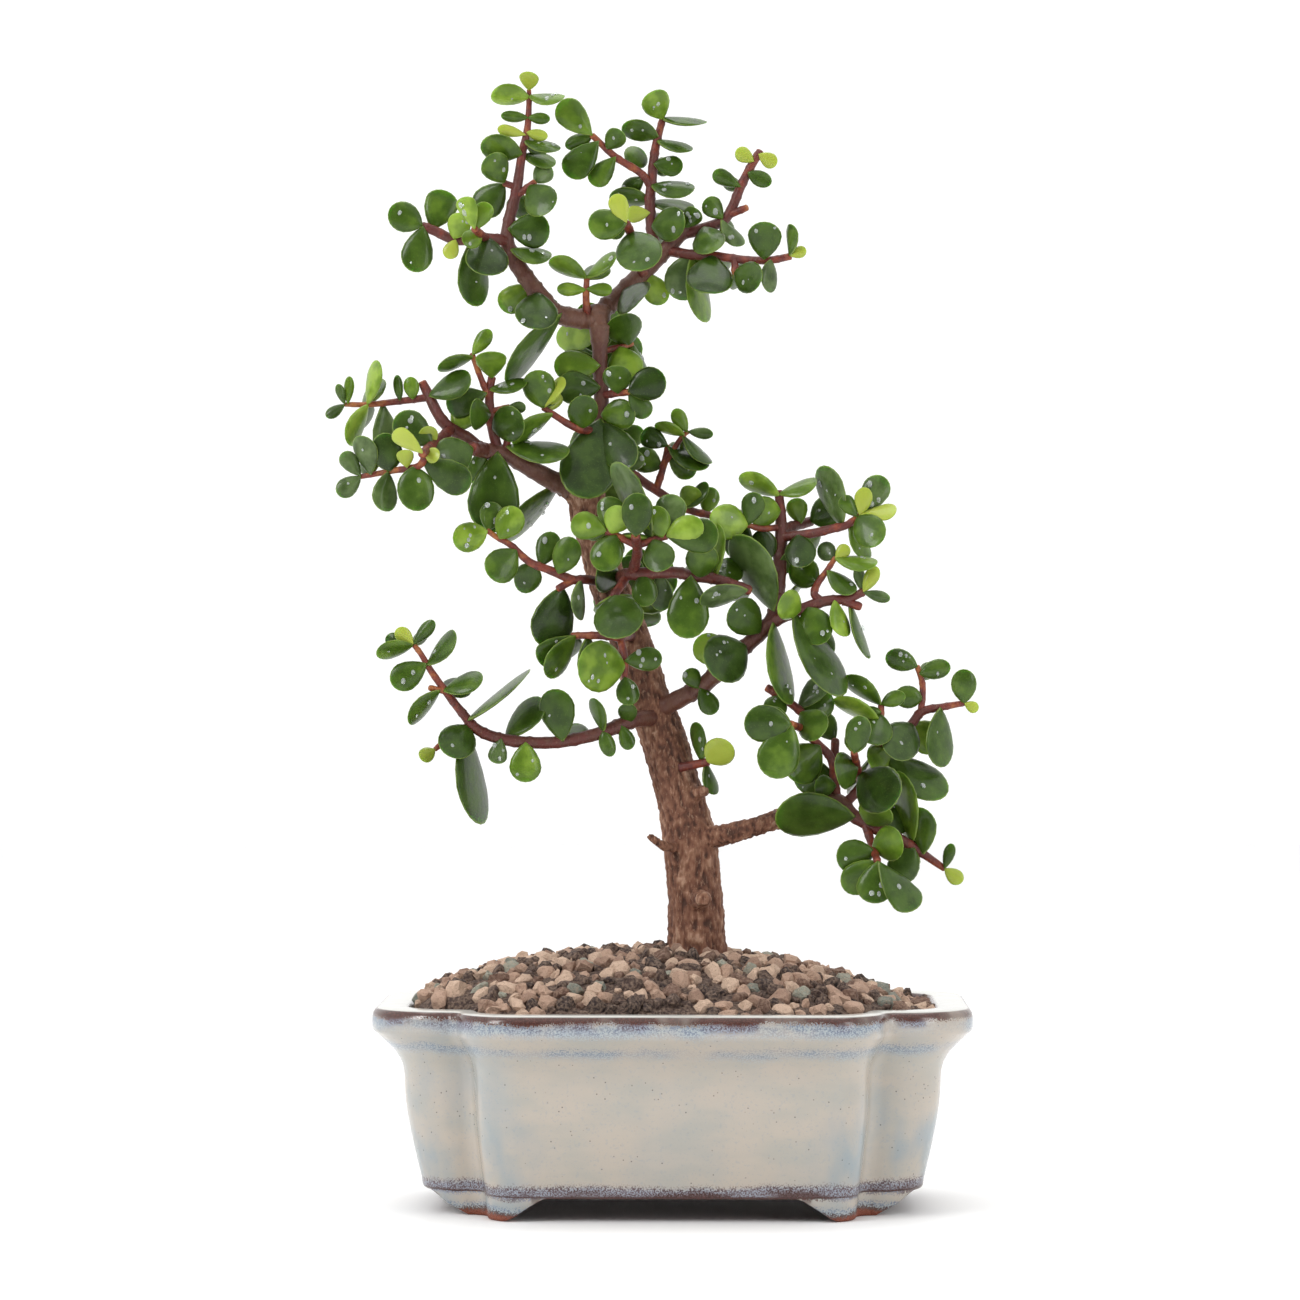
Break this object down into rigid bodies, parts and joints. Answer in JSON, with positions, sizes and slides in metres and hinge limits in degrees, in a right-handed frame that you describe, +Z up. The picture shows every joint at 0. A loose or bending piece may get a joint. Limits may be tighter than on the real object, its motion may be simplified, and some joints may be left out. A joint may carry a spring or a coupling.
{
  "type": "potted bonsai",
  "caption": "Dwarf jade bonsai with a leaning trunk and small fleshy leaves on spreading branches, in a quatrefoil glazed pot with cloud feet.",
  "frame": {"origin": "middle of the bounding box's footprint, on the surface the pot's feet stand on", "axes": "+Z up along the tree; X along the pot's long side; the view from -Y, turned 1 degree towards +X, is the front"},
  "size_m": [0.1788, 0.125, 0.3115],
  "materials": {
    "glaze": "cream glaze with blue-violet and brown bands where it runs thin, glossy",
    "soil": "loose mineral grains, matt",
    "bark": "thin fissured bark, satin to matt",
    "leaf": "fleshy waxy leaf, satin",
    "screen_plastic": "moulded plastic mesh, matt"
  },
  "bodies": {
    "root": {"pot": "glaze", "soil": "soil", "drain_screen_left": "screen_plastic", "drain_screen_right": "screen_plastic", "trunk": "bark", "spray_low_left": "leaf", "spray_low_right": "leaf", "spray_trunk_right": "leaf", "spray_front_low": "leaf", "spray_mid_right": "leaf", "spray_upper_right": "leaf", "spray_front_centre": "leaf", "spray_mid_left": "leaf", "spray_upper_left": "leaf", "spray_inner_right": "leaf", "spray_leader": "leaf", "spray_crown_left": "leaf", "spray_crown_right": "leaf", "spray_back_mid": "leaf", "spray_back_upper": "leaf", "spray_back_crown": "leaf"}
  },
  "joints": []
}
